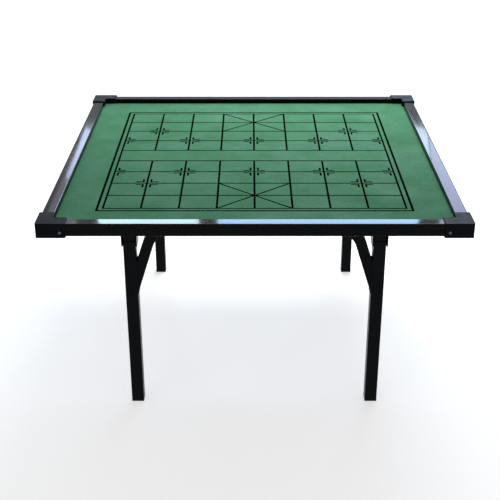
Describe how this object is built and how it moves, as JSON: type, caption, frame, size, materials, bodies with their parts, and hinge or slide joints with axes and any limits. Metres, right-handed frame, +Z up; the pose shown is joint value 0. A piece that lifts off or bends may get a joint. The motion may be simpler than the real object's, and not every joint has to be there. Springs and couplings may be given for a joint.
{
  "type": "folding game table",
  "caption": "Square low table with a printed green game board in a raised black rim, corner guards, and square tube legs in braced frames that fold flat under the top.",
  "frame": {"origin": "on the floor under the middle of the table top", "axes": "+X to the right and +Y away, seen from the front of the table; +Z up"},
  "size_m": [0.9, 0.9, 0.5],
  "materials": {
    "rail_lacquer": "gloss black lacquer on metal tube",
    "frame_steel": "satin black powder coat",
    "guard_plastic": "satin black moulding",
    "foot_rubber": "matte black",
    "board_core": "raw pressed fibre board",
    "playing_sheet": "matte green printed sheet",
    "zinc_steel": "bright zinc plate",
    "spring_steel": "blued spring steel"
  },
  "bodies": {
    "table_top": {"playing_panel": "board_core", "playing_sheet": "playing_sheet", "rail_front": "rail_lacquer", "rail_back": "rail_lacquer", "rail_left": "rail_lacquer", "rail_right": "rail_lacquer", "corner_guard_front_left": "guard_plastic", "corner_guard_front_right": "guard_plastic", "corner_guard_back_left": "guard_plastic", "corner_guard_back_right": "guard_plastic", "guard_screw_front_left_end": "zinc_steel", "guard_screw_front_left_side": "zinc_steel", "guard_screw_front_right_end": "zinc_steel", "guard_screw_front_right_side": "zinc_steel", "guard_screw_back_left_end": "zinc_steel", "guard_screw_back_left_side": "zinc_steel", "guard_screw_back_right_end": "zinc_steel", "guard_screw_back_right_side": "zinc_steel", "cross_rail_front": "frame_steel", "cross_rail_back": "frame_steel", "cross_rail_screw_front_left": "zinc_steel", "cross_rail_screw_front_right": "zinc_steel", "cross_rail_screw_back_left": "zinc_steel", "cross_rail_screw_back_right": "zinc_steel", "leg_bracket_front_left": "frame_steel", "leg_bracket_front_right": "frame_steel", "leg_bracket_back_left": "frame_steel", "leg_bracket_back_right": "frame_steel", "bracket_screw_front_left_inner": "zinc_steel", "bracket_screw_front_left_outer": "zinc_steel", "bracket_screw_front_right_inner": "zinc_steel", "bracket_screw_front_right_outer": "zinc_steel", "bracket_screw_back_left_inner": "zinc_steel", "bracket_screw_back_left_outer": "zinc_steel", "bracket_screw_back_right_inner": "zinc_steel", "bracket_screw_back_right_outer": "zinc_steel", "pivot_bolt_front_left": "zinc_steel", "pivot_bolt_front_right": "zinc_steel", "pivot_bolt_back_left": "zinc_steel", "pivot_bolt_back_right": "zinc_steel", "pivot_nut_front_left": "zinc_steel", "pivot_nut_front_right": "zinc_steel", "pivot_nut_back_left": "zinc_steel", "pivot_nut_back_right": "zinc_steel", "catch_spring_front_left": "spring_steel", "catch_spring_front_right": "spring_steel", "catch_spring_back_left": "spring_steel", "catch_spring_back_right": "spring_steel"},
    "front_leg_frame": {"leg_front_left": "frame_steel", "leg_front_right": "frame_steel", "bow_brace_front": "frame_steel", "foot_cap_front_left": "foot_rubber", "foot_cap_front_right": "foot_rubber"},
    "back_leg_frame": {"leg_back_left": "frame_steel", "leg_back_right": "frame_steel", "bow_brace_back": "frame_steel", "foot_cap_back_left": "foot_rubber", "foot_cap_back_right": "foot_rubber"}
  },
  "joints": [
    {"name": "front_legs_fold", "type": "hinge", "parent": "table_top", "child": "front_leg_frame", "pos_m": [0, -0.335, 0.4299], "axis": [1, 0, 0], "range_deg": [0, 90], "deforming": ["catch_spring_front_left", "catch_spring_front_right"]},
    {"name": "back_legs_fold", "type": "hinge", "parent": "table_top", "child": "back_leg_frame", "pos_m": [0, 0.335, 0.3989], "axis": [-1, 0, 0], "range_deg": [0, 90], "deforming": ["catch_spring_back_left", "catch_spring_back_right"]}
  ]
}
